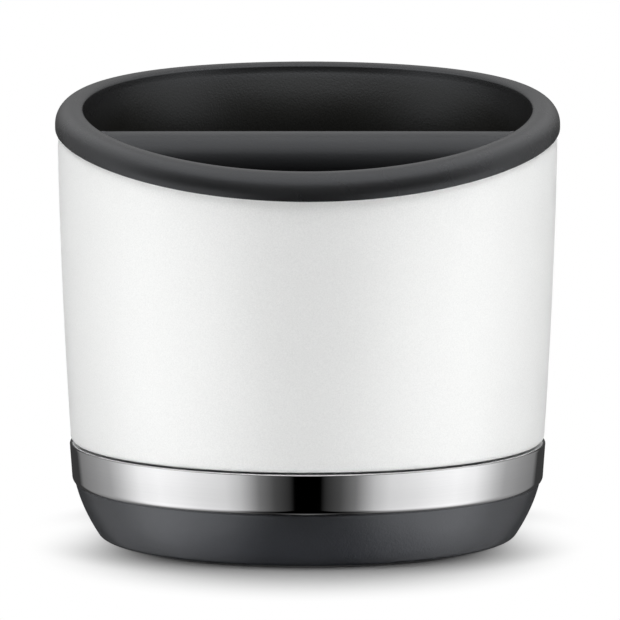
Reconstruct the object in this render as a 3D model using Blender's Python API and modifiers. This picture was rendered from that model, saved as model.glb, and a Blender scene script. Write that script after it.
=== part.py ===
"""Espresso knock box: a round bin with a sloping top edge and a knock bar that lifts out.

Metres, +Z up, front towards -Y. The origin is the middle of the footprint, on the surface it stands on.
"""

import math

import bmesh
import bpy
from mathutils import Matrix, Vector

# Fits and mesh steps
SEAT_GAP = 0.0003           # clearance between pieces that seat on each other
CUT_OVERRUN = 0.002         # how far a cutter runs past the face that it opens
MERGE_DISTANCE = 0.00001
TURN_STEPS = 48             # facets round the big turned pieces
BAR_TURN_STEPS = 24         # facets round the bar
SCREW_TURN_STEPS = 16       # facets round the screws, their bosses and pads
ARC_STEPS = 3               # facets of a small rounded corner
SMOOTH_ANGLE = math.radians(35)

# Top edge: the rim's crest at the sides, and how far it climbs to the back and falls to the front
SIDE_HEIGHT = 0.1160
REAR_RISE = 0.0058
FRONT_DROP = 0.0118

# Rolled rim of the bin
RIM_OVERHANG = 0.00075      # how far the rim stands out past the shell
RIM_WIDTH = 0.0074
RIM_CREST_RISE = 0.0047     # crest above the shoulder, the widest part of the rim
RIM_CREST_INSET = 0.0047    # crest in from the rim's outer face
RIM_SKIRT = 0.0015          # skirt below the shoulder
RIM_WALL = 0.0022           # thickness over the hollow that takes the shell's edge
RIM_ROOF_REACH = 0.0010     # the hollow's flat roof ends this far out from the crest
RIM_HOLLOW_RISE = 0.0007    # upright outer side of the hollow, above the shoulder
RIM_LIP_ROUND = 0.0003
RIM_ARC_STEPS = 5

# Outer shell
SHELL_TOP_RADIUS = 0.06665  # the box's driving width: every other radius follows from it
SHELL_TAPER = 0.0032        # how much smaller the radius is at the foot
SHELL_BULGE = 0.0004        # how far its side bows out between the foot and the top
SHELL_UPRIGHT = 0.0130      # how far below the crest at the sides the upright top part starts
SHELL_WALL = 0.0006
SHELL_BEARING = 0.0010      # how far its turned-in foot reaches over the base plate's edge
SHELL_BEND = 0.0010         # outside radius of that bend
SHELL_SIDE_STEPS = 5
EDGE_STEPS = 10

# Inner bin
BIN_WALL = 0.0020
BIN_FLOOR_RISE = 0.0035     # inside floor above the top of the boot
BIN_FLOOR_WALL = 0.0022
BIN_ROOM = 0.0007           # room round the bin's foot, inside the base plate's wall
BIN_CORNER = 0.0140         # inside corner between wall and floor
BIN_CORNER_STEPS = 5
BIN_INSIDE_STEPS = 6
BIN_OUTSIDE_STEPS = 4
LEVEL_SHARE = 0.35          # share of the bin's depth that stays level, from the floor
SLOPED_SHARE = 0.86         # share of the depth above which the wall follows the sloping edge in full

# Saddles in the bin that carry the bar
SADDLE_DEPTH = 0.0033       # how far it stands in from the wall at the bar's height
SADDLE_CHEEK = 0.0040       # thickness each side of the slot
SADDLE_RISE = 0.0040        # top of the saddle above the bar's axis
SADDLE_SEAT = 0.0030        # thickness under the slot
SADDLE_TAPER = 0.0125       # height of the slope that dies into the wall
SADDLE_ROUND = 0.0007

# Knock bar
BAR_RADIUS = 0.0085
BAR_DROP = 0.0156           # its axis below the rim's crest at the sides
SLEEVE_ROUND = 0.0006
SLEEVE_SKIN = 0.0017        # thickness of the sleeve over the end's spigot
ROD_CHAMFER = 0.0005
SPIGOT_WALL = 0.0017        # wall of the spigot, the part of the bar's end that plugs into the sleeve
SPIGOT_LENGTH = 0.0087
SPIGOT_END_WALL = 0.0013    # closes the pocket that takes the rod
END_DISC = 0.0015           # disc that covers the sleeve's end
TONGUE_HALF_WIDTH = 0.0045
TONGUE_RISE = 0.0050        # flat top of the tongue above the bar's axis

# Trim ring
RING_PROUD = 0.0005         # how far its top stands out past the shell's foot
RING_TAPER = 0.0008
RING_HEIGHT = 0.0110
RING_WALL = 0.0008
RING_TOP_ROUND = 0.0010
RING_FOOT_ROUND = 0.0020
RING_BEARING = 0.0016       # how far its top flange reaches over the base plate's edge
RING_FOOT_CURL = 0.00275

# Rubber boot
BOOT_HEIGHT = 0.0142
BOOT_SETBACK = 0.00065      # how far its top lies in from the ring's foot
BOOT_TAPER = 0.0067         # how much smaller the radius is where flank and floor would meet
BOOT_BULGE = 0.0008
BOOT_WALL = 0.0024
BOOT_FLOOR = 0.0026
BOOT_FOOT_ROUND = 0.0025
BOOT_LIP_ROUND = 0.0004
BOOT_BAND = 0.0100          # width of the band that touches the surface
BOOT_RECESS = 0.0008        # the middle of the underside stands this much higher
BOOT_SIDE_STEPS = 4

# Base plate
PLATE_WALL = 0.0024
PLATE_FLOOR = 0.0025
PLATE_RIB_COUNT = 8
PLATE_RIB_HEIGHT = 0.0042
PLATE_RIB_THICKNESS = 0.0016
PLATE_HUB_RADIUS = 0.0100
PLATE_HUB_WALL = 0.0030
PLATE_HUB_RISE = 0.0006        # how far the hub stands up past the ribs

# Screws, their bosses under the bin and their pads on the plate
SCREW_COUNT = 4
SCREW_INSET = 0.0150        # the screws' circle in from the bin's foot
SCREW_SHANK_RADIUS = 0.00175
SCREW_COVER = 0.0018        # floor left over the screw's bore
SCREW_HEAD_RADIUS = 0.0038
SCREW_HEAD_HEIGHT = 0.0017
SCREW_HEAD_ROUND = 0.0006
SCREW_HOLE_CLEARANCE = 0.00045
BOSS_WALL = 0.00245
PAD_WALL = 0.0022
PAD_HEIGHT = 0.0020

# Radii that follow from the sizes above, from the rim down to the screws
RIM_OUTER_RADIUS = SHELL_TOP_RADIUS + RIM_OVERHANG
RIM_INNER_RADIUS = RIM_OUTER_RADIUS - RIM_WIDTH
RIM_CREST_RADIUS = RIM_OUTER_RADIUS - RIM_CREST_INSET
SHELL_FOOT_RADIUS = SHELL_TOP_RADIUS - SHELL_TAPER
RING_TOP_RADIUS = SHELL_FOOT_RADIUS + RING_PROUD
RING_FOOT_RADIUS = RING_TOP_RADIUS - RING_TAPER
BOOT_TOP_RADIUS = RING_FOOT_RADIUS - BOOT_SETBACK
BOOT_FOOT_RADIUS = BOOT_TOP_RADIUS - BOOT_TAPER
PLATE_UPPER_RADIUS = RING_FOOT_RADIUS - RING_FOOT_CURL - SEAT_GAP
BIN_FOOT_RADIUS = PLATE_UPPER_RADIUS - PLATE_WALL - BIN_ROOM - BIN_WALL
SCREW_CIRCLE = BIN_FOOT_RADIUS - SCREW_INSET

# Heights that follow, from the surface up
PLATE_FLOOR_UNDER = BOOT_FLOOR + SEAT_GAP
PLATE_FLOOR_TOP = PLATE_FLOOR_UNDER + PLATE_FLOOR
PAD_TOP_HEIGHT = PLATE_FLOOR_TOP + PAD_HEIGHT
HEAD_SEAT_HEIGHT = PLATE_FLOOR_UNDER + SCREW_HEAD_HEIGHT + 2 * SEAT_GAP
BOSS_FOOT_HEIGHT = PAD_TOP_HEIGHT + SEAT_GAP
RING_FOOT_HEIGHT = BOOT_HEIGHT + SEAT_GAP
RING_TOP_HEIGHT = RING_FOOT_HEIGHT + RING_HEIGHT
PLATE_TOP_HEIGHT = RING_TOP_HEIGHT - RING_WALL - SEAT_GAP
SHELL_FOOT_HEIGHT = RING_TOP_HEIGHT + SEAT_GAP
BIN_FLOOR_HEIGHT = BOOT_HEIGHT + BIN_FLOOR_RISE
BIN_FLOOR_UNDER = BIN_FLOOR_HEIGHT - BIN_FLOOR_WALL
SCREW_BORE_END = BIN_FLOOR_HEIGHT - SCREW_COVER
BAR_AXIS_HEIGHT = SIDE_HEIGHT - BAR_DROP
SHELL_UPRIGHT_HEIGHT = SIDE_HEIGHT - SHELL_UPRIGHT
SHOULDER_HEIGHT = SIDE_HEIGHT - RIM_CREST_RISE

# The bar's sections that follow, from its skin in to the rod
SLEEVE_COUNTERBORE_RADIUS = BAR_RADIUS - SLEEVE_SKIN
SPIGOT_RADIUS = SLEEVE_COUNTERBORE_RADIUS - SEAT_GAP
SLEEVE_BORE_RADIUS = SPIGOT_RADIUS - SPIGOT_WALL
ROD_RADIUS = SLEEVE_BORE_RADIUS - SEAT_GAP
SLOT_HALF_WIDTH = TONGUE_HALF_WIDTH + SEAT_GAP


def bowed(height, low, high, low_radius, high_radius, bulge):
    """Radius at a height of a side that bows out by bulge half way up."""
    share = (height - low) / (high - low)
    return low_radius + (high_radius - low_radius) * share + 4 * bulge * share * (1 - share)


def shell_radius(height):
    """Outside radius of the shell."""
    if height >= SHELL_UPRIGHT_HEIGHT:
        return SHELL_TOP_RADIUS
    return bowed(height, SHELL_FOOT_HEIGHT, SHELL_UPRIGHT_HEIGHT,
                 SHELL_FOOT_RADIUS, SHELL_TOP_RADIUS, SHELL_BULGE)


def boot_radius(height):
    """Outside radius of the boot, before its foot is rounded."""
    return bowed(height, 0, BOOT_HEIGHT, BOOT_FOOT_RADIUS, BOOT_TOP_RADIUS, BOOT_BULGE)


def plate_radius(height):
    """Outside radius of the part of the base plate that fills the boot."""
    return boot_radius(height) - BOOT_WALL - SEAT_GAP


def bin_radius(height):
    """Inside radius of the bin's wall, on a bin with a level edge."""
    share = (height - BIN_FLOOR_HEIGHT) / (SHOULDER_HEIGHT - BIN_FLOOR_HEIGHT)
    return BIN_FOOT_RADIUS + (RIM_INNER_RADIUS - BIN_FOOT_RADIUS) * share


# Places along the bar, outwards from its middle to the wall, that follow from the bin's width
SADDLE_NOSE = bin_radius(BAR_AXIS_HEIGHT) - SADDLE_DEPTH
DISC_END = SADDLE_NOSE - SEAT_GAP
DISC_START = DISC_END - END_DISC
SLEEVE_HALF_LENGTH = DISC_START - SEAT_GAP
SPIGOT_START = DISC_START - SPIGOT_LENGTH
ROD_POCKET_END = DISC_START - SPIGOT_END_WALL


def edge_offset(y):
    """Height of the sloping edge at depth y, measured from its height at the sides."""
    tilt = (REAR_RISE + FRONT_DROP) / 2
    sag = (FRONT_DROP - REAR_RISE) / 2
    depth = y / RIM_CREST_RADIUS
    return tilt * depth - sag * depth * depth


def edge_weight(height):
    """How fully a height on the bin follows the sloping edge, from 0 to 1."""
    share = (height - BIN_FLOOR_HEIGHT) / (SHOULDER_HEIGHT - BIN_FLOOR_HEIGHT)
    step = min(1, max(0, (share - LEVEL_SHARE) / (SLOPED_SHARE - LEVEL_SHARE)))
    return step * step * (3 - 2 * step)


def spread(low, high, steps):
    """Evenly spaced values from low to high, both included."""
    return [low + (high - low) * i / steps for i in range(steps + 1)]


def rounded(corners, steps=ARC_STEPS):
    """Points of a line through corners (radius, height, rounding), with each rounding as an arc."""
    points = []
    for i, (r, z, rounding) in enumerate(corners):
        corner = Vector((r, z))
        if not rounding:
            points.append(corner)
            continue
        before = (Vector(corners[i - 1][:2]) - corner).normalized()
        after = (Vector(corners[(i + 1) % len(corners)][:2]) - corner).normalized()
        half = before.angle(after) / 2
        middle = corner + (before + after).normalized() * rounding / math.sin(half)
        start = corner + before * rounding / math.tan(half) - middle
        turn = start.angle_signed(corner + after * rounding / math.tan(half) - middle)
        for angle in spread(0, -turn, steps):
            points.append(middle + Matrix.Rotation(angle, 2) @ start)
    return points


def ellipse(centre_radius, centre_height, half_width, half_height, start, end, steps):
    """Points of an ellipse's arc between two angles in degrees, 0 outwards and 90 up."""
    return [Vector((centre_radius + half_width * math.cos(math.radians(angle)),
                    centre_height + half_height * math.sin(math.radians(angle))))
            for angle in spread(start, end, steps)]


def material(name, colour, roughness, metallic=0.0):
    """A Principled material with a plain colour."""
    made = bpy.data.materials.new(name)
    made.use_nodes = True
    made.diffuse_color = (*colour, 1)
    shader = made.node_tree.nodes["Principled BSDF"]
    shader.inputs["Base Color"].default_value = (*colour, 1)
    shader.inputs["Roughness"].default_value = roughness
    shader.inputs["Metallic"].default_value = metallic
    return made


def add(name, mesh, group):
    """A mesh object in a collection."""
    made = bpy.data.objects.new(name, mesh)
    group.objects.link(made)
    return made


def finish(made, finish_material):
    """Give a piece its material and smooth its round faces."""
    made.data.materials.clear()
    made.data.materials.append(finish_material)
    made.data.shade_smooth()
    made.data.set_sharp_from_angle(angle=SMOOTH_ANGLE)
    return made


def as_mesh(made):
    """Replace an object by a plain mesh object of what its modifiers or its curve make."""
    bpy.context.view_layer.update()
    evaluated = made.evaluated_get(bpy.context.evaluated_depsgraph_get())
    mesh = bpy.data.meshes.new_from_object(evaluated)
    work = bmesh.new()
    work.from_mesh(mesh)
    bmesh.ops.remove_doubles(work, verts=work.verts, dist=MERGE_DISTANCE)
    work.to_mesh(mesh)
    work.free()
    name = made.name
    group = made.users_collection[0]
    matrix = made.matrix_world.copy()
    bpy.data.objects.remove(made)
    plain = add(name, mesh, group)
    plain.matrix_world = matrix
    return plain


def turned(name, points, group, closed=False, steps=TURN_STEPS):
    """A profile turned round Z. At +X it runs down its outer side, top to bottom."""
    mesh = bpy.data.meshes.new(name)
    edges = [(i, i + 1) for i in range(len(points) - 1)]
    if closed:
        edges.append((len(points) - 1, 0))
    mesh.from_pydata([(point[0], 0, point[1]) for point in points], edges, [])
    made = add(name, mesh, group)
    screw = made.modifiers.new("turn", "SCREW")
    screw.axis = "Z"
    screw.steps = steps
    screw.render_steps = steps
    screw.use_merge_vertices = True
    screw.merge_threshold = MERGE_DISTANCE
    return made


def thicken(made, wall):
    """Give an open surface its wall, on the inside."""
    solidify = made.modifiers.new("wall", "SOLIDIFY")
    solidify.thickness = wall
    solidify.offset = -1
    solidify.use_even_offset = True
    return made


def prism(name, outline, low, high, group):
    """A closed outline of (x, y) points, raised from low to high along its own Z."""
    curve = bpy.data.curves.new(name, "CURVE")
    curve.dimensions = "2D"
    curve.fill_mode = "BOTH"
    curve.extrude = (high - low) / 2
    spline = curve.splines.new("POLY")
    spline.points.add(len(outline) - 1)
    for point, (x, y) in zip(spline.points, outline):
        point.co = (x, y, 0, 1)
    spline.use_cyclic_u = True
    made = bpy.data.objects.new(name, curve)
    group.objects.link(made)
    plain = as_mesh(made)
    plain.data.transform(Matrix.Translation((0, 0, (low + high) / 2)))
    return plain


def cylinders(name, radius, low, high, places, group):
    """Upright cylinders of one size at several places, as one mesh."""
    work = bmesh.new()
    for x, y in places:
        bmesh.ops.create_cone(work, cap_ends=True, segments=SCREW_TURN_STEPS, radius1=radius, radius2=radius,
                              depth=high - low, matrix=Matrix.Translation((x, y, (low + high) / 2)))
    mesh = bpy.data.meshes.new(name)
    work.to_mesh(mesh)
    work.free()
    return add(name, mesh, group)


def combine(made, other, operation):
    """Join another solid to a piece, or cut it away."""
    boolean = made.modifiers.new(operation.lower(), "BOOLEAN")
    boolean.operation = operation
    boolean.solver = "EXACT"
    boolean.object = other
    other.hide_render = True
    other.display_type = "WIRE"


def screw_places():
    """Middles of the screws, on their circle between the axes."""
    angles = [math.tau * (i + 0.5) / SCREW_COUNT for i in range(SCREW_COUNT)]
    return [(SCREW_CIRCLE * math.cos(angle), SCREW_CIRCLE * math.sin(angle)) for angle in angles]


def outer_shell(parts, cutters):
    """Sheet sleeve, turned in at the foot and cut to the sloping edge."""
    reach = RIM_OUTER_RADIUS + CUT_OVERRUN
    edge = shell_edge_height()
    slope = [(y, edge + edge_offset(y)) for y in spread(-reach, reach, EDGE_STEPS)]
    top = max(height for y, height in slope) + CUT_OVERRUN
    heights = spread(SHELL_UPRIGHT_HEIGHT, SHELL_FOOT_HEIGHT, SHELL_SIDE_STEPS)
    side = [(shell_radius(z), z, 0) for z in heights[:-1]]
    foot = [(SHELL_FOOT_RADIUS, SHELL_FOOT_HEIGHT, SHELL_BEND),
            (PLATE_UPPER_RADIUS - SHELL_BEARING, SHELL_FOOT_HEIGHT, 0)]
    shell = turned("outer_shell", rounded([(SHELL_TOP_RADIUS, top, 0)] + side + foot), parts)
    thicken(shell, SHELL_WALL)
    waste = slope + [(reach, top + CUT_OVERRUN), (-reach, top + CUT_OVERRUN)]
    cutter = prism("edge_cutter", waste, -reach, reach, cutters)
    upright = Matrix.Rotation(math.radians(90), 4, "X")
    cutter.matrix_world = Matrix.Rotation(math.radians(90), 4, "Z") @ upright
    combine(shell, cutter, "DIFFERENCE")
    return finish(shell, material("pearl_white_paint", (0.80, 0.80, 0.78), 0.38))


def rim_hollow():
    """Corners of the hollow under the rim: inner foot, inner top, outer top and outer foot."""
    roof = SHOULDER_HEIGHT + RIM_CREST_RISE - RIM_WALL
    inner = RIM_INNER_RADIUS + BIN_WALL
    outer = SHELL_TOP_RADIUS + SEAT_GAP
    foot = SHOULDER_HEIGHT - RIM_SKIRT
    return [(inner, foot), (inner, roof), (RIM_CREST_RADIUS + RIM_ROOF_REACH, roof),
            (outer, SHOULDER_HEIGHT + RIM_HOLLOW_RISE), (outer, foot)]


def shell_edge_height():
    """Height of the shell's cut edge at the sides, just under the roof of the rim's hollow."""
    return SHOULDER_HEIGHT + RIM_HOLLOW_RISE - SEAT_GAP


def bin_profile():
    """The bin's section with a level edge, from the middle of the floor over the rim and back."""
    wall_top = RIM_INNER_RADIUS
    inner_corner = rounded([(0, BIN_FLOOR_HEIGHT, 0), (BIN_FOOT_RADIUS, BIN_FLOOR_HEIGHT, BIN_CORNER),
                            (wall_top, SHOULDER_HEIGHT, 0)], BIN_CORNER_STEPS)
    heights = spread(inner_corner[-2][1], SHOULDER_HEIGHT, BIN_INSIDE_STEPS)
    inner_wall = [Vector((bin_radius(z), z)) for z in heights[1:-1]]
    inner_rim = ellipse(RIM_CREST_RADIUS, SHOULDER_HEIGHT, RIM_CREST_RADIUS - RIM_INNER_RADIUS,
                        RIM_CREST_RISE, 180, 90, RIM_ARC_STEPS)
    outer_rim = ellipse(RIM_CREST_RADIUS, SHOULDER_HEIGHT, RIM_CREST_INSET, RIM_CREST_RISE,
                        90, 0, RIM_ARC_STEPS)
    hollow = rim_hollow()
    lip = rounded([(RIM_OUTER_RADIUS, SHOULDER_HEIGHT, 0),
                   (RIM_OUTER_RADIUS, SHOULDER_HEIGHT - RIM_SKIRT, RIM_LIP_ROUND), (*hollow[-1], 0)], 2)
    inside = [Vector(corner) for corner in reversed(hollow[1:-1])]
    outer_foot = BIN_FOOT_RADIUS + BIN_WALL
    outer_corner = rounded([(RIM_INNER_RADIUS + BIN_WALL, SHOULDER_HEIGHT, 0),
                            (outer_foot, BIN_FLOOR_UNDER, BIN_CORNER + BIN_WALL), (0, BIN_FLOOR_UNDER, 0)],
                           BIN_CORNER_STEPS)
    outer_heights = spread(hollow[0][1], outer_corner[1][1], BIN_OUTSIDE_STEPS)
    outer_wall = [Vector((bin_radius(z) + BIN_WALL, z)) for z in outer_heights[:-1]]
    return (inner_corner[:-1] + inner_wall + inner_rim + outer_rim[1:] + lip[1:] + inside
            + outer_wall + outer_corner[1:])


def saddle_block(side, cutters):
    """One saddle before its slot is cut: upright in front, sloping away below."""
    half_width = SLOT_HALF_WIDTH + SADDLE_CHEEK
    top = BAR_AXIS_HEIGHT + SADDLE_RISE
    seat = BAR_AXIS_HEIGHT - SLOT_HALF_WIDTH - SADDLE_SEAT
    foot = seat - SADDLE_TAPER
    root = BIN_WALL / 2
    outline = [(SADDLE_NOSE, top), (SADDLE_NOSE, seat), (bin_radius(foot) + root, foot),
               (bin_radius(top) + root, top)]
    block = prism("saddle_" + ("right" if side > 0 else "left"), outline, -half_width, half_width, cutters)
    turn = Matrix.Rotation(math.radians(90), 4, "X")
    if side < 0:
        turn = Matrix.Rotation(math.radians(180), 4, "Z") @ turn
    block.matrix_world = turn
    bevel = block.modifiers.new("round", "BEVEL")
    bevel.width = SADDLE_ROUND
    bevel.segments = 2
    return block


def tongue_outline(half_width, rise):
    """Flat top, upright sides and a round foot, seen along the bar."""
    round_foot = [(half_width * math.cos(math.radians(a)), half_width * math.sin(math.radians(a)))
                  for a in spread(180, 360, BAR_TURN_STEPS // 2)]
    return [(half_width, rise), (-half_width, rise)] + round_foot


def along_bar(side):
    """Turns a shape raised along Z to lie along the bar, pointing to one side."""
    return (Matrix.Translation((0, 0, BAR_AXIS_HEIGHT))
            @ Matrix.Rotation(math.radians(90) * side, 4, "Z") @ Matrix.Rotation(math.radians(90), 4, "X"))


def tongue_tip():
    """How far the bar's tongue reaches: a gap short of the wall at its own corners."""
    wall = bin_radius(BAR_AXIS_HEIGHT - TONGUE_HALF_WIDTH)
    return math.sqrt(wall ** 2 - TONGUE_HALF_WIDTH ** 2) - 2 * SEAT_GAP


def inner_bin(parts, cutters):
    """Moulded bin: wall and floor, rolled rim, saddles for the bar and bosses for the screws."""
    shape = as_mesh(turned("inner_bin", bin_profile(), parts))
    for vertex in shape.data.vertices:
        vertex.co.z += edge_offset(vertex.co.y) * edge_weight(vertex.co.z)
    places = screw_places()
    root = BIN_FLOOR_UNDER + BIN_FLOOR_WALL / 2
    bore = SCREW_SHANK_RADIUS + SEAT_GAP
    bosses = cylinders("bosses", bore + BOSS_WALL, BOSS_FOOT_HEIGHT, root, places, cutters)
    combine(shape, bosses, "UNION")
    bores = cylinders("boss_bores", bore, BOSS_FOOT_HEIGHT - CUT_OVERRUN, SCREW_BORE_END, places, cutters)
    combine(shape, bores, "DIFFERENCE")
    for side in (1, -1):
        combine(shape, saddle_block(side, cutters), "UNION")
        slot = prism("slot_" + ("right" if side > 0 else "left"),
                     tongue_outline(SLOT_HALF_WIDTH, SADDLE_RISE + CUT_OVERRUN),
                     SADDLE_NOSE - CUT_OVERRUN, tongue_tip() + SEAT_GAP, cutters)
        slot.matrix_world = along_bar(side)
        combine(shape, slot, "DIFFERENCE")
    return finish(shape, material("charcoal_plastic", (0.045, 0.046, 0.050), 0.55))


def trim_ring(parts):
    """Sheet ring: a flange on top that the shell stands on, and a curl at the foot."""
    corners = [(PLATE_UPPER_RADIUS - RING_BEARING, RING_TOP_HEIGHT, 0),
               (RING_TOP_RADIUS, RING_TOP_HEIGHT, RING_TOP_ROUND),
               (RING_FOOT_RADIUS, RING_FOOT_HEIGHT, RING_FOOT_ROUND),
               (RING_FOOT_RADIUS - RING_FOOT_CURL, RING_FOOT_HEIGHT, 0)]
    ring = thicken(turned("trim_ring", rounded(corners), parts), RING_WALL)
    return finish(ring, material("polished_chrome", (0.75, 0.75, 0.76), 0.08, 1.0))


def base_boot(parts):
    """Rubber cup under the plate, with a raised middle underneath."""
    heights = spread(BOOT_HEIGHT, 0, BOOT_SIDE_STEPS)
    inside = [(boot_radius(z) - BOOT_WALL, z, 0) for z in reversed(heights[:-1]) if z > BOOT_FLOOR]
    lip = [(BOOT_TOP_RADIUS, BOOT_HEIGHT, BOOT_LIP_ROUND)]
    flank = lip + [(boot_radius(z), z, 0) for z in heights[1:-1]]
    band_inner = BOOT_FOOT_RADIUS - BOOT_BAND
    corners = ([(0, BOOT_FLOOR, 0), (boot_radius(BOOT_FLOOR) - BOOT_WALL, BOOT_FLOOR, 0)] + inside + flank
               + [(BOOT_FOOT_RADIUS, 0, BOOT_FOOT_ROUND), (band_inner, 0, 0),
                  (band_inner - BOOT_RECESS, BOOT_RECESS, 0), (0, BOOT_RECESS, 0)])
    boot = turned("base_boot", rounded(corners), parts)
    return finish(boot, material("dark_rubber", (0.045, 0.047, 0.053), 0.6))


def base_plate(parts, cutters):
    """Moulded plate: a wall inside boot and ring, a ribbed floor and pads for the screws."""
    heights = [z for z in spread(BOOT_HEIGHT, 0, BOOT_SIDE_STEPS) if z > PLATE_FLOOR_TOP]
    inside = [(plate_radius(z) - PLATE_WALL, z, 0) for z in reversed(heights)]
    upper_inside = PLATE_UPPER_RADIUS - PLATE_WALL
    outside = [(plate_radius(z), z, 0) for z in heights[1:]]
    corners = ([(0, PLATE_FLOOR_TOP, 0),
                (plate_radius(PLATE_FLOOR_TOP) - PLATE_WALL, PLATE_FLOOR_TOP, 0)] + inside[:-1]
               + [(upper_inside, RING_FOOT_HEIGHT + PLATE_WALL, 0), (upper_inside, PLATE_TOP_HEIGHT, 0),
                  (PLATE_UPPER_RADIUS, PLATE_TOP_HEIGHT, 0), (PLATE_UPPER_RADIUS, RING_FOOT_HEIGHT, 0),
                  (plate_radius(BOOT_HEIGHT), RING_FOOT_HEIGHT, 0)] + outside
               + [(plate_radius(PLATE_FLOOR_UNDER), PLATE_FLOOR_UNDER, 0), (0, PLATE_FLOOR_UNDER, 0)])
    plate = turned("base_plate", rounded(corners), parts)
    middle = PLATE_FLOOR_UNDER + PLATE_FLOOR / 2
    rib_top = PLATE_FLOOR_TOP + PLATE_RIB_HEIGHT
    hub_top = rib_top + PLATE_HUB_RISE
    combine(plate, cylinders("hub", PLATE_HUB_RADIUS, middle, hub_top, [(0, 0)], cutters), "UNION")
    rib_foot = PLATE_FLOOR_TOP - PLATE_FLOOR / 8
    rib_end = (plate_radius(rib_foot) + plate_radius(rib_top) - PLATE_WALL) / 2
    rib_start = PLATE_HUB_RADIUS - PLATE_HUB_WALL / 2
    half = PLATE_RIB_THICKNESS / 2
    outline = [(rib_start, -half), (rib_end, -half), (rib_end, half), (rib_start, half)]
    for i in range(PLATE_RIB_COUNT):
        rib = prism("rib_%d" % (i + 1), outline, rib_foot, rib_top, cutters)
        rib.rotation_euler.z = math.tau * (i + 0.5) / PLATE_RIB_COUNT
        combine(plate, rib, "UNION")
    places = screw_places()
    recess = SCREW_HEAD_RADIUS + SCREW_HOLE_CLEARANCE
    combine(plate, cylinders("pads", recess + PAD_WALL, middle, PAD_TOP_HEIGHT, places, cutters), "UNION")
    combine(plate, cylinders("hub_bore", PLATE_HUB_RADIUS - PLATE_HUB_WALL, PLATE_FLOOR_TOP,
                             rib_top + CUT_OVERRUN, [(0, 0)], cutters), "DIFFERENCE")
    combine(plate, cylinders("head_recesses", recess, PLATE_FLOOR_UNDER - CUT_OVERRUN, HEAD_SEAT_HEIGHT,
                             places, cutters), "DIFFERENCE")
    combine(plate, cylinders("shank_holes", SCREW_SHANK_RADIUS + SCREW_HOLE_CLEARANCE, PLATE_FLOOR_UNDER,
                             PAD_TOP_HEIGHT + CUT_OVERRUN, places, cutters), "DIFFERENCE")
    return finish(plate, material("black_plastic", (0.02, 0.02, 0.022), 0.5))


def base_screws(parts):
    """Screws from below: the head in the plate's recess, the shank in the bin's boss."""
    head_top = HEAD_SEAT_HEIGHT - SEAT_GAP
    steel = material("screw_steel", (0.55, 0.55, 0.56), 0.3, 1.0)
    tip = SCREW_BORE_END - SEAT_GAP
    head_foot = head_top - SCREW_HEAD_HEIGHT
    corners = [(0, tip, 0), (SCREW_SHANK_RADIUS, tip, 0), (SCREW_SHANK_RADIUS, head_top, 0),
               (SCREW_HEAD_RADIUS, head_top, 0), (SCREW_HEAD_RADIUS, head_foot, SCREW_HEAD_ROUND),
               (0, head_foot, 0)]
    for i, (x, y) in enumerate(screw_places()):
        screw = turned("base_screw_%d" % (i + 1), rounded(corners, 2), parts, steps=SCREW_TURN_STEPS)
        screw.location = (x, y, 0)
        finish(screw, steel)


def bar_rod(parts, bar):
    """Steel rod that runs from one end's pocket to the other's."""
    half = ROD_POCKET_END - SEAT_GAP
    corners = [(0, half), (ROD_RADIUS - ROD_CHAMFER, half), (ROD_RADIUS, half - ROD_CHAMFER),
               (ROD_RADIUS, ROD_CHAMFER - half), (ROD_RADIUS - ROD_CHAMFER, -half), (0, -half)]
    rod = turned("bar_rod", corners, parts, steps=BAR_TURN_STEPS)
    hang(rod, bar, 1)
    return finish(rod, material("bar_steel", (0.6, 0.6, 0.61), 0.3, 1.0))


def bar_sleeve(parts, bar):
    """Soft sleeve round the rod, wider inside at both ends for the spigots."""
    end = SLEEVE_HALF_LENGTH
    wide = SPIGOT_START - SEAT_GAP
    corners = [(BAR_RADIUS, end, SLEEVE_ROUND), (BAR_RADIUS, -end, SLEEVE_ROUND),
               (SLEEVE_COUNTERBORE_RADIUS, -end, 0), (SLEEVE_COUNTERBORE_RADIUS, -wide, 0),
               (SLEEVE_BORE_RADIUS, -wide, 0), (SLEEVE_BORE_RADIUS, wide, 0),
               (SLEEVE_COUNTERBORE_RADIUS, wide, 0), (SLEEVE_COUNTERBORE_RADIUS, end, 0)]
    sleeve = turned("bar_sleeve", rounded(corners), parts, closed=True, steps=BAR_TURN_STEPS)
    hang(sleeve, bar, 1)
    return finish(sleeve, material("bar_rubber", (0.040, 0.042, 0.046), 0.6))


def bar_end(name, side, parts, cutters, bar, plastic):
    """Moulded end: a spigot with a pocket for the rod, a disc, and a tongue that sits in the saddle."""
    corners = [(0, DISC_END, 0), (BAR_RADIUS, DISC_END, SLEEVE_ROUND), (BAR_RADIUS, DISC_START, 0),
               (SPIGOT_RADIUS, DISC_START, 0), (SPIGOT_RADIUS, SPIGOT_START, 0),
               (SLEEVE_BORE_RADIUS, SPIGOT_START, 0), (SLEEVE_BORE_RADIUS, ROD_POCKET_END, 0),
               (0, ROD_POCKET_END, 0)]
    end = turned(name, rounded(corners, 2), parts, steps=BAR_TURN_STEPS)
    tongue = prism(name + "_tongue", tongue_outline(TONGUE_HALF_WIDTH, TONGUE_RISE),
                   DISC_END - END_DISC / 2, tongue_tip(), cutters)
    tongue.matrix_world = along_bar(side)
    hang(end, bar, side)
    combine(end, tongue, "UNION")
    return finish(end, plastic)


def hang(piece, bar, side):
    """Lay a turned piece along the bar and carry it on the bar's empty."""
    piece.matrix_world = along_bar(side)
    piece.parent = bar
    piece.matrix_parent_inverse = Matrix.Translation((0, 0, -BAR_AXIS_HEIGHT))


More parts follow.
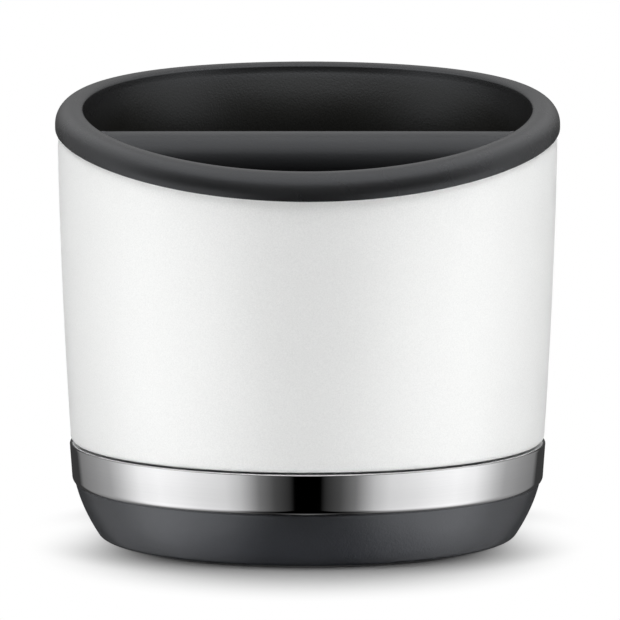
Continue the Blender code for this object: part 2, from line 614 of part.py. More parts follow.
def build():
    """Make every piece of the knock box."""
    for old in list(bpy.data.objects):
        bpy.data.objects.remove(old)
    parts = bpy.data.collections.new("knock_box")
    cutters = bpy.data.collections.new("cutters")
    for group in (parts, cutters):
        bpy.context.scene.collection.children.link(group)
    bar = bpy.data.objects.new("knock_bar", None)
    bar.location = (0, 0, BAR_AXIS_HEIGHT)
    parts.objects.link(bar)
    outer_shell(parts, cutters)
    inner_bin(parts, cutters)
    trim_ring(parts)
    base_boot(parts)
    base_plate(parts, cutters)
    base_screws(parts)
    bar_rod(parts, bar)
    bar_sleeve(parts, bar)
    plastic = material("bar_end_plastic", (0.03, 0.03, 0.033), 0.5)
    bar_end("bar_end_right", 1, parts, cutters, bar, plastic)
    bar_end("bar_end_left", -1, parts, cutters, bar, plastic)


build()
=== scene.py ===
# %% [markdown]
# # An espresso knock box
#
# A knock box stands beside an espresso machine. The barista raps the filter basket on the
# rubber bar, and the spent puck drops into the bin. This one is a painted steel sleeve round a
# charcoal plastic bin, with a bright ring and a rubber boot at its foot.
#
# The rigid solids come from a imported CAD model. This script loads them as a fixed frame, models
# the pieces that show with a finer surface, gives every piece its finish, and sets up a small
# studio. All lengths are metres, +Z is up and the front faces -Y.

# %% Load the fixed frame
import math

import bmesh
import bpy
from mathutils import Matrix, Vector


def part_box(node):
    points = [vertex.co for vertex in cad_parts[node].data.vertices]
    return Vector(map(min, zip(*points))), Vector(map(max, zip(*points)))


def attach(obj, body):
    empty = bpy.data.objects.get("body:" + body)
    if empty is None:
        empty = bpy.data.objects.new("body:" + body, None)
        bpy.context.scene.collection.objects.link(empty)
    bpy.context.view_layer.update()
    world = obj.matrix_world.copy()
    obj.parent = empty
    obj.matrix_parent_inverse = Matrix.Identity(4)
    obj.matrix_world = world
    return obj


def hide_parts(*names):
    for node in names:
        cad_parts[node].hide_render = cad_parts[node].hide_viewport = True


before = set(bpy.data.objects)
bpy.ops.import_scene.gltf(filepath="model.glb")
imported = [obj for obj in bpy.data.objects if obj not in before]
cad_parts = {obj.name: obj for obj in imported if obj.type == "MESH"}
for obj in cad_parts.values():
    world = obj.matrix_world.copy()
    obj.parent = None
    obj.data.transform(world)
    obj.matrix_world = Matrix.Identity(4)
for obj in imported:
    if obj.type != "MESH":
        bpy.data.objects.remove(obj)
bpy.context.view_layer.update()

# %% [markdown]
# ## The camera
#
# A long lens from nearly two metres away keeps the box almost free of perspective, so its sides
# look straight. The camera stands a little above level, which shows the mouth as a thin
# ellipse. The small sideways shift only sets where the box sits in the picture.

# %% Camera
CAMERA_DISTANCE = 1.8
CAMERA_RISE = math.radians(7.2)
AIM_HEIGHT = 0.0606
CAMERA_LENS = 390.1
SIDE_SHIFT = 0.0039

camera_place = (0, -CAMERA_DISTANCE * math.cos(CAMERA_RISE),
                AIM_HEIGHT + CAMERA_DISTANCE * math.sin(CAMERA_RISE))
bpy.ops.object.camera_add(location=camera_place,
                          rotation=(math.radians(90) - CAMERA_RISE, 0, 0))
camera = bpy.context.object
camera.data.lens = CAMERA_LENS
camera.data.shift_x = SIDE_SHIFT
camera.data.clip_start = 0.1
camera.data.clip_end = 30
bpy.context.scene.camera = camera
print("camera at", [round(value, 3) for value in camera.location])

# %% [markdown]
# ## Growing a round piece ring by ring
#
# Nearly everything here is round. Such a piece could be spun from a profile, but growing it is
# closer to how it is done by hand: a circle of edges is added, and it is extruded and scaled
# again and again, each time to the next station of the profile. A station is a radius and a
# height. The edges stay selected after each extrusion, so the next step follows on.

# %% Growing a ring
ROUND_STEPS = 192


def start_ring(name, station, steps=ROUND_STEPS):
    """Add a circle of edges at a station and open it for editing."""
    radius, height = station
    bpy.ops.object.select_all(action="DESELECT")
    bpy.ops.mesh.primitive_circle_add(vertices=steps, radius=radius, location=(0, 0, height))
    piece = bpy.context.object
    piece.name = name
    bpy.ops.object.transform_apply()
    bpy.ops.object.mode_set(mode="EDIT")
    bpy.ops.mesh.select_mode(type="EDGE")
    bpy.ops.mesh.select_all(action="SELECT")
    return piece


def grow(stations):
    """Extrude the selected ring from the first station through all the others."""
    for (radius, height), (next_radius, next_height) in zip(stations, stations[1:]):
        rise = {"value": (0, 0, next_height - height)}
        bpy.ops.mesh.extrude_edges_move(TRANSFORM_OT_translate=rise)
        factor = next_radius / radius
        bpy.ops.transform.resize(value=(factor, factor, 1), center_override=(0, 0, 0))


def steps_between(low, high, count):
    """Evenly spaced values from low to high, both included."""
    return [low + (high - low) * i / count for i in range(count + 1)]


# %% [markdown]
# A grown piece is finished in the same few steps each time. Chosen rings are bevelled, doubled
# points are merged, the faces are made to point outwards, and the round faces are shaded
# smooth while sharp corners stay sharp. Rings are chosen by their place, as one would by eye.

# %% Finishing a grown piece
SAME_PLACE = 0.000002
SMOOTH_ANGLE = math.radians(35)


def select_edges(test):
    """Select the edges whose two ends both pass a test on (radius, height)."""
    mesh = bmesh.from_edit_mesh(bpy.context.object.data)
    for edge in mesh.edges:
        edge.select_set(all(test(math.hypot(v.co.x, v.co.y), v.co.z) for v in edge.verts))
    bmesh.update_edit_mesh(bpy.context.object.data)


def round_ring(station, width, segments):
    """Bevel the ring of edges at a station."""
    radius, height = station
    select_edges(lambda r, z: abs(r - radius) < SAME_PLACE and abs(z - height) < SAME_PLACE)
    bpy.ops.mesh.bevel(offset=width, segments=segments, affect="EDGES")


def point_outwards():
    """Merge doubled points, then make the faces of the piece being edited point out."""
    bpy.ops.mesh.select_all(action="SELECT")
    bpy.ops.mesh.remove_doubles(threshold=SAME_PLACE)
    bpy.ops.mesh.normals_make_consistent(inside=False)
    mesh = bmesh.from_edit_mesh(bpy.context.object.data)
    widest = max(mesh.faces, key=lambda face: math.hypot(*face.calc_center_median()[:2]))
    if widest.normal.dot(widest.calc_center_median()) < 0:
        bpy.ops.mesh.flip_normals()


def close_piece(piece):
    """Leave edit mode and shade the round faces smooth."""
    if piece.mode == "EDIT":
        bpy.ops.object.mode_set(mode="OBJECT")
    bpy.ops.object.select_all(action="DESELECT")
    piece.select_set(True)
    bpy.context.view_layer.objects.active = piece
    bpy.ops.object.shade_smooth_by_angle(angle=SMOOTH_ANGLE)


def apply_modifier(piece, kind, **settings):
    """Add a modifier, set it up and apply it."""
    modifier = piece.modifiers.new(kind.lower(), kind)
    for setting, value in settings.items():
        setattr(modifier, setting, value)
    bpy.context.view_layer.objects.active = piece
    bpy.ops.object.modifier_apply(modifier=modifier.name)


def describe(piece):
    """Print a piece's size and how many faces it has."""
    print(piece.name, [round(1000 * side, 2) for side in piece.dimensions], "mm,",
          len(piece.data.polygons), "faces")


# %% [markdown]
# ## The sloping edge
#
# The top edge of the box falls from the back to the front, faster towards the front. It is a
# parabola over the depth of the box. The bin's rim and the steel sleeve both follow it, so the
# rule is written once. Radii and heights are read from the frame wherever a node gives them.

# %% Shared sizes
SEAT_GAP = 0.0003
SIDE_CREST = 0.1160
REAR_RISE = 0.0058
FRONT_DROP = 0.0118
RIM_WIDTH = 0.0074
CREST_RISE = 0.0047
CREST_INSET = 0.0047

rim_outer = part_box("inner_bin")[1].x
rim_inner = rim_outer - RIM_WIDTH
rim_crest = rim_outer - CREST_INSET
shoulder = SIDE_CREST - CREST_RISE
shell_top_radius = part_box("outer_shell")[1].x
shell_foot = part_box("outer_shell")[0].z
ring_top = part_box("trim_ring")[1].z
ring_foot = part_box("base_boot")[1].z
ring_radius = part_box("trim_ring")[1].x


def edge_offset(y):
    """Height of the sloping edge at a depth, against its height at the sides."""
    depth = y / rim_crest
    return (REAR_RISE + FRONT_DROP) / 2 * depth - (FRONT_DROP - REAR_RISE) / 2 * depth * depth


def ease(value, low, high):
    """0 below low, 1 above high, and a smooth climb between them."""
    share = min(1, max(0, (value - low) / (high - low)))
    return share * share * (3 - 2 * share)


print("edge: back", round(1000 * (SIDE_CREST + edge_offset(rim_crest)), 1),
      "front", round(1000 * (SIDE_CREST + edge_offset(-rim_crest)), 1), "mm")

# %% [markdown]
# ## The steel sleeve
#
# The outer shell is thin sheet, rolled into a tube that widens upwards and turned in at the
# foot. A thin sheet is best modelled as an open surface that gets its thickness last. The
# bend at the foot is a bevelled ring. No single operator cuts a curved slope, so each ring is
# lowered by the rule above, and takes the radius that belongs to its new height.

# %% Outer shell
SHELL_TAPER = 0.0032
SHELL_BULGE = 0.0004
SHELL_UPRIGHT = 0.1030
SHELL_SHEET = 0.0006
SHELL_BEND = 0.0014
SHELL_LIP_RADIUS = 0.0591
SHELL_SLOPE_START = 0.0400
SHELL_EDGE_RISE = 0.0004


def shell_radius(height):
    """Outside radius of the sleeve."""
    share = min(1, (height - shell_foot) / (SHELL_UPRIGHT - shell_foot))
    return shell_top_radius - SHELL_TAPER * (1 - share) + 4 * SHELL_BULGE * share * (1 - share)


foot_ring = (shell_top_radius - SHELL_TAPER, shell_foot)
shell_edge = shoulder + SHELL_EDGE_RISE
shell_side = [(shell_radius(z), z) for z in steps_between(shell_foot, SHELL_UPRIGHT, 26)[1:]]
shell_top = [(shell_top_radius, z) for z in steps_between(SHELL_UPRIGHT, shell_edge, 4)[1:]]
shell_stations = [(SHELL_LIP_RADIUS, shell_foot), foot_ring] + shell_side + shell_top
shell = start_ring("shell", shell_stations[0])
grow(shell_stations)
round_ring(foot_ring, SHELL_BEND, segments=6)
point_outwards()
bpy.ops.object.mode_set(mode="OBJECT")
for vertex in shell.data.vertices:
    if vertex.co.z > SHELL_SLOPE_START:
        sloped = ease(vertex.co.z, SHELL_SLOPE_START, SHELL_UPRIGHT)
        height = vertex.co.z + edge_offset(vertex.co.y) * sloped
        vertex.co *= shell_radius(height) / shell_radius(vertex.co.z)
        vertex.co.z = height
apply_modifier(shell, "SOLIDIFY", thickness=SHELL_SHEET, offset=-1)
close_piece(shell)
describe(shell)

# %% [markdown]
# ## The bin and its rolled rim
#
# Bin and rim are one moulding. The section runs along the floor, round a wide corner that is
# easy to wipe, up a wall with a few degrees of draft, over the rolled rim, and back down behind
# the wall. Under the rim is a hollow that hides the sheet's cut edge. The ring is grown along
# that whole section on a bin with a level edge, and the slope is given to it afterwards, fading
# out towards the floor so that the floor stays level. At the back and the front the wall also
# leans in under the rim like a funnel, which keeps the grounds from catching; at the sides,
# where the saddles stand, it stays straight.

# %% Bin
POLE_RADIUS = 0.0004
BIN_FLOOR_UNDER = 0.0155
BIN_FLOOR_THICKNESS = 0.0022
BIN_FOOT_RADIUS = 0.0550
BIN_WALL = 0.0020
BIN_CORNER = 0.0140
RIM_SKIRT = 0.00135
RIM_EDGE_DROP = 0.0011
RIM_LIP_ROUND = 0.0003
RIM_THICKNESS = 0.0022
HOLLOW_SIDE_RISE = 0.0007
HOLLOW_ROOF_INSET = 0.0010
FUNNEL_DROP = 0.0021
FUNNEL_DEPTH = 0.0150
FUNNEL_SLOPE = 0.43
FUNNEL_FOOT = 0.0400
# Stations on the funnel as shares of its depth, closer together near its top
FUNNEL_SHARES = (0.86, 0.72, 0.58, 0.44, 0.32, 0.21, 0.12, 0.05, 0.0)
# Shares of the bin's depth between which the slope comes in
LEVEL_SHARE = 0.35
SLOPED_SHARE = 0.86

bin_floor = BIN_FLOOR_UNDER + BIN_FLOOR_THICKNESS
funnel_top = SIDE_CREST - FUNNEL_DROP
funnel_end = funnel_top - FUNNEL_DEPTH
bin_depth = shoulder - bin_floor
draft = (rim_inner - BIN_FOOT_RADIUS) / bin_depth
lean = math.degrees(math.atan(draft))


def close_pole(height):
    """Pull a tiny ring at a height together into one point on the axis."""
    select_edges(lambda r, z: r < 2 * POLE_RADIUS and abs(z - height) < SAME_PLACE)
    bpy.ops.mesh.merge(type="CENTER")


def arc(centre, half_sizes, start, end, count):
    """Stations along an elliptical arc. Angles are degrees: 0 points outwards and 90 up."""
    return [(centre[0] + half_sizes[0] * math.cos(math.radians(angle)),
             centre[1] + half_sizes[1] * math.sin(math.radians(angle)))
            for angle in steps_between(start, end, count)]


def bin_radius(height):
    """Inside radius of the wall on the level bin."""
    return BIN_FOOT_RADIUS + draft * (height - bin_floor)


def corner_arc(wall_offset, floor, rounding, start, end, count):
    """The rounding between a level floor and the leaning wall."""
    height = floor + rounding
    radius = bin_radius(height) + wall_offset - rounding / math.cos(math.radians(lean))
    return arc((radius, height), (rounding, rounding), start, end, count)


def draw_in(height):
    """How far the funnel under the rim leans in at a height, at the very back and front."""
    depth = funnel_top - height
    if depth <= 0:
        return 0
    if depth < FUNNEL_DEPTH:
        return FUNNEL_SLOPE * (depth - depth * depth / (2 * FUNNEL_DEPTH))
    return FUNNEL_SLOPE * FUNNEL_DEPTH / 2 * ease(height, FUNNEL_FOOT, funnel_end)


inner_corner = corner_arc(0, bin_floor, BIN_CORNER, -90, -lean, 10)
wall_heights = steps_between(inner_corner[-1][1], funnel_end, 20)[1:]
wall_heights += [funnel_top - FUNNEL_DEPTH * share for share in FUNNEL_SHARES]
rim_edge = SIDE_CREST - RIM_EDGE_DROP
inner_wall = [(min(bin_radius(z), rim_inner), z) for z in wall_heights]
inner_rim = arc((rim_crest, rim_edge), (rim_crest - rim_inner, RIM_EDGE_DROP), 180, 90, 12)
outer_rim = arc((rim_crest, shoulder), (CREST_INSET, CREST_RISE), 90, 0, 14)[1:]
skirt_foot = shoulder - RIM_SKIRT
lip_centre = (rim_outer - RIM_LIP_ROUND, skirt_foot + RIM_LIP_ROUND)
lip = arc(lip_centre, (RIM_LIP_ROUND, RIM_LIP_ROUND), 0, -90, 4)
hollow_outer = shell_top_radius + SEAT_GAP
hollow_roof = SIDE_CREST - RIM_THICKNESS
hollow = [(hollow_outer, skirt_foot), (hollow_outer, shoulder + HOLLOW_SIDE_RISE),
          (rim_crest + HOLLOW_ROOF_INSET, hollow_roof), (rim_inner + BIN_WALL, hollow_roof)]
outer_corner = corner_arc(BIN_WALL, BIN_FLOOR_UNDER, BIN_CORNER + BIN_WALL, -lean, -90, 8)
outer_wall = [(bin_radius(z) + BIN_WALL, z)
              for z in steps_between(skirt_foot, outer_corner[0][1], 10)[:-1]]
bin_stations = ([(POLE_RADIUS, bin_floor), (BIN_FOOT_RADIUS / 3, bin_floor)]
                + inner_corner + inner_wall + inner_rim + outer_rim
                + lip + hollow + outer_wall + outer_corner
                + [(BIN_FOOT_RADIUS / 3, BIN_FLOOR_UNDER), (POLE_RADIUS, BIN_FLOOR_UNDER)])

grounds_bin = start_ring("bin", bin_stations[0])
grow(bin_stations)
close_pole(bin_floor)
close_pole(BIN_FLOOR_UNDER)
point_outwards()
bpy.ops.object.mode_set(mode="OBJECT")
slope_start = bin_floor + LEVEL_SHARE * bin_depth
slope_end = bin_floor + SLOPED_SHARE * bin_depth
for vertex in grounds_bin.data.vertices:
    radius = math.hypot(vertex.co.x, vertex.co.y)
    if SAME_PLACE < radius < rim_inner + BIN_WALL + SAME_PLACE:
        kept = 1 - draw_in(vertex.co.z) * (vertex.co.y / radius) ** 2 / radius
        vertex.co.x *= kept
        vertex.co.y *= kept
    vertex.co.z += edge_offset(vertex.co.y) * ease(vertex.co.z, slope_start, slope_end)
close_piece(grounds_bin)
describe(grounds_bin)

# %% [markdown]
# ## The saddles for the bar
#
# Each end of the bar rests in a slot in a block on the bin's wall. The block is moulded with
# the wall, so its root spreads in a small hollow curve, and below the slot it slopes away so
# that wet grounds don't cling to a ledge. It starts as a flat face at the nose and is extruded
# towards the wall section by section; then the slot is cut from above.

# %% Saddle blocks
SADDLE_HALF_WIDTH = 0.0088
SADDLE_RISE = 0.0040
SADDLE_FOOT = -0.0078
SADDLE_TAPER = 0.0125
SADDLE_ROOT_ROUND = 0.0012
SADDLE_EDGE_ROUND = 0.0006
SHARP_ANGLE = math.radians(60)
SLEEVE_TRIM = 0.0002
END_DISC = 0.0015
BLEND_STEPS = 5

sleeve_low, sleeve_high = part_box("bar_sleeve")
bar_height = (sleeve_low.z + sleeve_high.z) / 2
bar_radius = (sleeve_high.z - sleeve_low.z) / 2 - SLEEVE_TRIM
sleeve_end = sleeve_high.x
disc_end = sleeve_end + END_DISC
saddle_nose = disc_end + SEAT_GAP
tongue_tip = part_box("bar_end_right")[1].x


def flare(x, wall):
    """How far the saddle spreads at a place near the wall."""
    share = min(1, max(0, (x - wall + SADDLE_ROOT_ROUND) / SADDLE_ROOT_ROUND))
    return SADDLE_ROOT_ROUND * (1 - math.sqrt(1 - share * share))


def move_face(x_step, y_factor, top_step, bottom_step):
    """Extrude the selected face along X, widen it and move its top and bottom edges."""
    bpy.ops.mesh.extrude_region_move(TRANSFORM_OT_translate={"value": (x_step, 0, 0)})
    bpy.ops.transform.resize(value=(1, y_factor, 1), center_override=(0, 0, 0))
    mesh = bmesh.from_edit_mesh(bpy.context.object.data)
    corners = sorted((v for v in mesh.verts if v.select), key=lambda v: v.co.z)
    for corner, step in zip(corners, [bottom_step] * 2 + [top_step] * 2):
        corner.co.z += step
    bmesh.update_edit_mesh(bpy.context.object.data)


wall_at_side = math.sqrt(bin_radius(bar_height) ** 2 - SADDLE_HALF_WIDTH ** 2)
wall_at_top = bin_radius(bar_height + SADDLE_RISE)
saddle_root = wall_at_top + BIN_WALL / 2
blends = [wall - SADDLE_ROOT_ROUND * (1 - i / BLEND_STEPS)
          for wall in (wall_at_side, wall_at_top) for i in range(BLEND_STEPS + 1)]
sections = sorted([saddle_nose, saddle_root] + blends)
foot_root = bin_radius(bar_height + SADDLE_FOOT - SADDLE_TAPER) + BIN_WALL / 2
bottom_slope = SADDLE_TAPER / (foot_root - saddle_nose)

bpy.ops.object.select_all(action="DESELECT")
bpy.ops.mesh.primitive_plane_add(size=1, location=(0, 0, 0), rotation=(0, math.radians(90), 0))
saddle = bpy.context.object
saddle.name = "bin_saddle_right"
saddle.scale = (SADDLE_RISE - SADDLE_FOOT, 2 * SADDLE_HALF_WIDTH, 1)
saddle.location = (saddle_nose, 0, bar_height + (SADDLE_RISE + SADDLE_FOOT) / 2)
bpy.ops.object.transform_apply()
bpy.ops.object.mode_set(mode="EDIT")
bpy.ops.mesh.select_mode(type="FACE")
bpy.ops.mesh.select_all(action="SELECT")
for x, next_x in zip(sections, sections[1:]):
    width = SADDLE_HALF_WIDTH + flare(x, wall_at_side)
    next_width = SADDLE_HALF_WIDTH + flare(next_x, wall_at_side)
    move_face(next_x - x, next_width / width, flare(next_x, wall_at_top) - flare(x, wall_at_top),
              -bottom_slope * (next_x - x))
bpy.ops.mesh.select_all(action="SELECT")
bpy.ops.mesh.normals_make_consistent(inside=False)
bpy.ops.object.mode_set(mode="OBJECT")
apply_modifier(saddle, "BEVEL", width=SADDLE_EDGE_ROUND, segments=4, limit_method="ANGLE",
               angle_limit=SHARP_ANGLE)
describe(saddle)

# %% [markdown]
# The slot for the bar's tongue is cut with a solid of the tongue's own shape, a gap larger all
# round: a cylinder cut in half along its length, with the cut face pulled up. The saddle on
# the left is a turned copy of the finished right one.

# %% Slots, and the second saddle
TONGUE_HALF_WIDTH = 0.0045
SLOT_EDGE_ROUND = 0.00025


def tongue_block(name, half_width, rise, start, end):
    """A bar along X with a round underside and a flat top, for a tongue or its slot."""
    bpy.ops.object.select_all(action="DESELECT")
    bpy.ops.mesh.primitive_cylinder_add(vertices=64, radius=half_width, depth=end - start,
                                        location=((start + end) / 2, 0, bar_height),
                                        rotation=(0, math.radians(90), 0))
    block = bpy.context.object
    block.name = name
    bpy.ops.object.transform_apply()
    bpy.ops.object.mode_set(mode="EDIT")
    bpy.ops.mesh.select_all(action="SELECT")
    bpy.ops.mesh.bisect(plane_co=(0, 0, bar_height), plane_no=(0, 0, 1), use_fill=True,
                        clear_outer=True)
    bpy.ops.mesh.extrude_region_move(TRANSFORM_OT_translate={"value": (0, 0, rise)})
    bpy.ops.mesh.select_all(action="SELECT")
    bpy.ops.mesh.normals_make_consistent(inside=False)
    bpy.ops.object.mode_set(mode="OBJECT")
    return block


slot_cutter = tongue_block("slot_cutter", TONGUE_HALF_WIDTH + SEAT_GAP, 2 * SADDLE_RISE,
                           saddle_nose - END_DISC, tongue_tip + SEAT_GAP)
apply_modifier(saddle, "BOOLEAN", operation="DIFFERENCE", object=slot_cutter)
bpy.data.objects.remove(slot_cutter)
apply_modifier(saddle, "BEVEL", width=SLOT_EDGE_ROUND, segments=2, limit_method="ANGLE",
               angle_limit=SHARP_ANGLE)
close_piece(saddle)


def turned_copy(piece, name):
    """A copy with its own mesh, turned half round the box's axis."""
    bpy.ops.object.select_all(action="DESELECT")
    piece.select_set(True)
    bpy.context.view_layer.objects.active = piece
    bpy.ops.object.duplicate()
    copy = bpy.context.object
    copy.name = name
    copy.rotation_euler.z = math.pi
    bpy.ops.object.transform_apply()
    return copy


saddle_left = turned_copy(saddle, "bin_saddle_left")
describe(saddle)
describe(saddle_left)

# %% [markdown]
# ## The knock bar
#
# The bar is a steel rod inside a soft sleeve, with a moulded end on each side. It lies loose
# in its saddles and lifts out for washing. The sleeve is grown standing up, because a ring
# grows along Z, and is then laid down along X. Its section closes on itself, so the last ring
# lands on the first and the doubled points are merged.

# %% Sleeve of the bar
SLEEVE_ROUND = 0.00008
SLEEVE_SKIN = 0.0017
SPIGOT_WALL = 0.0017
SPIGOT_LENGTH = 0.0087
SPIGOT_END_WALL = 0.0013
BAR_STEPS = 96

counterbore = bar_radius - SLEEVE_SKIN
bore = counterbore - SEAT_GAP - SPIGOT_WALL
bore_end = sleeve_end - SPIGOT_LENGTH - SEAT_GAP
near_end = sleeve_end - SLEEVE_ROUND
near_radius = bar_radius - SLEEVE_ROUND
sleeve_rounds = (SLEEVE_ROUND, SLEEVE_ROUND)
sleeve_stations = ([(counterbore, -sleeve_end)]
                   + arc((near_radius, -near_end), sleeve_rounds, -90, 0, 5)
                   + [(bar_radius, z) for z in steps_between(-near_end, near_end, 12)[1:-1]]
                   + arc((near_radius, near_end), sleeve_rounds, 0, 90, 5)
                   + [(counterbore, sleeve_end), (counterbore, bore_end), (bore, bore_end),
                      (bore, -bore_end), (counterbore, -bore_end), (counterbore, -sleeve_end)])


def lay_along_bar(piece):
    """Turn a piece that was grown along Z to lie along X, at the bar's height."""
    bpy.ops.object.mode_set(mode="OBJECT")
    piece.rotation_euler.y = math.radians(90)
    piece.location.z = bar_height
    bpy.ops.object.transform_apply()


sleeve = start_ring("bar_skin", sleeve_stations[0], BAR_STEPS)
grow(sleeve_stations)
point_outwards()
lay_along_bar(sleeve)
close_piece(sleeve)
describe(sleeve)

# %% [markdown]
# An end of the bar is a disc with a spigot that plugs into the sleeve, and a tongue that sits
# in the saddle. The disc and spigot are one turned shape with a pocket for the rod. The tongue
# is made as the cutter of its slot was, and the two are joined into one solid.

# %% Ends of the bar
TONGUE_RISE = 0.0050
TONGUE_ROUND = 0.0004
DISC_ROUND = 0.0006

spigot = counterbore - SEAT_GAP
spigot_end = sleeve_end - SPIGOT_LENGTH
pocket_end = sleeve_end - SPIGOT_END_WALL
disc_edge = (bar_radius - DISC_ROUND, disc_end - DISC_ROUND)
end_stations = ([(POLE_RADIUS, pocket_end), (bore, pocket_end), (bore, spigot_end),
                 (spigot, spigot_end), (spigot, sleeve_end), (bar_radius, sleeve_end)]
                + arc(disc_edge, (DISC_ROUND, DISC_ROUND), 0, 90, 5)
                + [(POLE_RADIUS, disc_end)])
end_right = start_ring("bar_cap_right", end_stations[0], BAR_STEPS)
grow(end_stations)
close_pole(pocket_end)
close_pole(disc_end)
point_outwards()
lay_along_bar(end_right)
tongue = tongue_block("tongue", TONGUE_HALF_WIDTH, TONGUE_RISE,
                      disc_end - END_DISC / 2, tongue_tip)
apply_modifier(tongue, "BEVEL", width=TONGUE_ROUND, segments=3, limit_method="ANGLE",
               angle_limit=SHARP_ANGLE)
apply_modifier(end_right, "BOOLEAN", operation="UNION", object=tongue)
bpy.data.objects.remove(tongue)
close_piece(end_right)
end_left = turned_copy(end_right, "bar_cap_left")
describe(end_right)
describe(end_left)

# %% [markdown]
# ## The bright ring
#
# The ring at the foot is pressed from sheet: a flange on top that the sleeve stands on, a side
# that tapers a little, and a curl at the foot. It stands a hair proud of the sleeve, and the
# rounded edges catch thin lines of light. It is an open surface, bevelled at its two corners
# and thickened inwards.

# %% Trim ring
RING_TAPER = 0.0008
RING_SHEET = 0.0008
RING_TOP_ROUND = 0.0007
RING_FOOT_ROUND = 0.0020
RING_LIP_RADIUS = 0.0585
RING_CURL = 0.00275

ring_corner = (ring_radius, ring_top)
ring_base = (ring_radius - RING_TAPER, ring_foot)
ring_curl = (ring_radius - RING_TAPER - RING_CURL, ring_foot)
ring_stations = [(RING_LIP_RADIUS, ring_top), ring_corner, ring_base, ring_curl]
ring = start_ring("ring", ring_stations[0])
grow(ring_stations)
round_ring(ring_corner, RING_TOP_ROUND, segments=10)
round_ring(ring_base, RING_FOOT_ROUND, segments=8)
point_outwards()
bpy.ops.object.mode_set(mode="OBJECT")
apply_modifier(ring, "SOLIDIFY", thickness=RING_SHEET, offset=-1)
close_piece(ring)
describe(ring)

# %% [markdown]
# ## The rubber boot
#
# A cup of soft rubber keeps the box from sliding. Its side bows out a little and tapers in to
# the floor, and only a band at the edge touches the counter, because the middle underneath is
# raised. Its top edge meets the foot of the ring. The section is closed, with a pole on the
# axis at both ends.

# %% Boot
BOOT_TAPER = 0.0067
BOOT_BULGE = 0.0008
BOOT_WALL = 0.0024
BOOT_FLOOR = 0.0026
BOOT_BAND = 0.0100
BOOT_RECESS = 0.0008
BOOT_FOOT_ROUND = 0.0011
BOOT_LIP_ROUND = 0.0003

boot_top_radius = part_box("base_boot")[1].x
boot_height = ring_foot + SEAT_GAP
boot_foot_radius = boot_top_radius - BOOT_TAPER


def boot_radius(height):
    """Outside radius of the boot, before its foot is rounded."""
    share = height / boot_height
    return boot_foot_radius + BOOT_TAPER * share + 4 * BOOT_BULGE * share * (1 - share)


boot_inside = [(boot_radius(z) - BOOT_WALL, z)
               for z in steps_between(BOOT_FLOOR, boot_height, 8)]
boot_corner = (boot_foot_radius, 0)
boot_edge = (boot_top_radius, boot_height)
boot_flank = [(boot_radius(z), z) for z in steps_between(boot_height, 0, 12)[1:-1]]
band_inner = boot_foot_radius - BOOT_BAND
boot_stations = ([(POLE_RADIUS, BOOT_FLOOR)] + boot_inside + [boot_edge] + boot_flank
                 + [boot_corner, (band_inner, 0), (band_inner - BOOT_RECESS, BOOT_RECESS),
                    (POLE_RADIUS, BOOT_RECESS)])
boot = start_ring("boot", boot_stations[0])
grow(boot_stations)
close_pole(BOOT_FLOOR)
close_pole(BOOT_RECESS)
point_outwards()
round_ring(boot_edge, BOOT_LIP_ROUND, segments=4)
round_ring(boot_corner, BOOT_FOOT_ROUND, segments=6)
close_piece(boot)
describe(boot)

# %% [markdown]
# ## Finishes
#
# Each finish is a Principled shader fed by noise in Object coordinates, so its grain stays
# fixed to the piece and has a real size. Values that are the same all over, such as a clear
# coat, are set on the shader itself. Small helpers keep the node set-up short. The first ones
# make the material, plug a number, a colour or a link into a socket, make a noise, and map it
# to a range of numbers. Noise hardly ever leaves its middle half, so that half is spread.

# %% Helpers for noise
NOISE_LOW, NOISE_HIGH = 0.25, 0.75


def new_finish(name, **constants):
    """A Principled material with its constant values set on the shader."""
    made = bpy.data.materials.new(name)
    made.use_nodes = True
    shader = made.node_tree.nodes["Principled BSDF"]
    for socket, value in constants.items():
        shader.inputs[socket.replace("_", " ")].default_value = value
    return made


def plug(tree, value, socket):
    """Link a socket to another one, or set it to a number, a grey or a colour."""
    if isinstance(value, bpy.types.NodeSocket):
        tree.links.new(value, socket)
    elif socket.type != "RGBA":
        socket.default_value = value
    elif isinstance(value, tuple):
        socket.default_value = (*value, 1)
    else:
        socket.default_value = (value, value, value, 1)


def noise(finish, grain, detail=2.0, stretch=(1, 1, 1)):
    """Noise whose spots are about one grain across, in metres."""
    tree = finish.node_tree
    place = tree.nodes.new("ShaderNodeTexCoord")
    mapping = tree.nodes.new("ShaderNodeMapping")
    mapping.inputs["Scale"].default_value = stretch
    texture = tree.nodes.new("ShaderNodeTexNoise")
    texture.inputs["Scale"].default_value = 1 / grain
    texture.inputs["Detail"].default_value = detail
    tree.links.new(place.outputs["Object"], mapping.inputs["Vector"])
    tree.links.new(mapping.outputs["Vector"], texture.inputs["Vector"])
    return texture.outputs["Fac"]


def map_range(tree, source, start, end, to_start=0, to_end=1, interpolation="LINEAR"):
    """Map the values from start to end onto another range, and hold them beyond it."""
    node = tree.nodes.new("ShaderNodeMapRange")
    node.interpolation_type = interpolation
    for name, value in (("Value", source), ("From Min", start), ("From Max", end),
                        ("To Min", to_start), ("To Max", to_end)):
        plug(tree, value, node.inputs[name])
    return node.outputs["Result"]


def spread(finish, source, low, high):
    """Spread a noise over a range of numbers."""
    return map_range(finish.node_tree, source, NOISE_LOW, NOISE_HIGH, low, high)


# %% [markdown]
# The other helpers put the noise to use: one mixes two colours by it, one feeds a value to the
# shader, and one turns a height into relief.

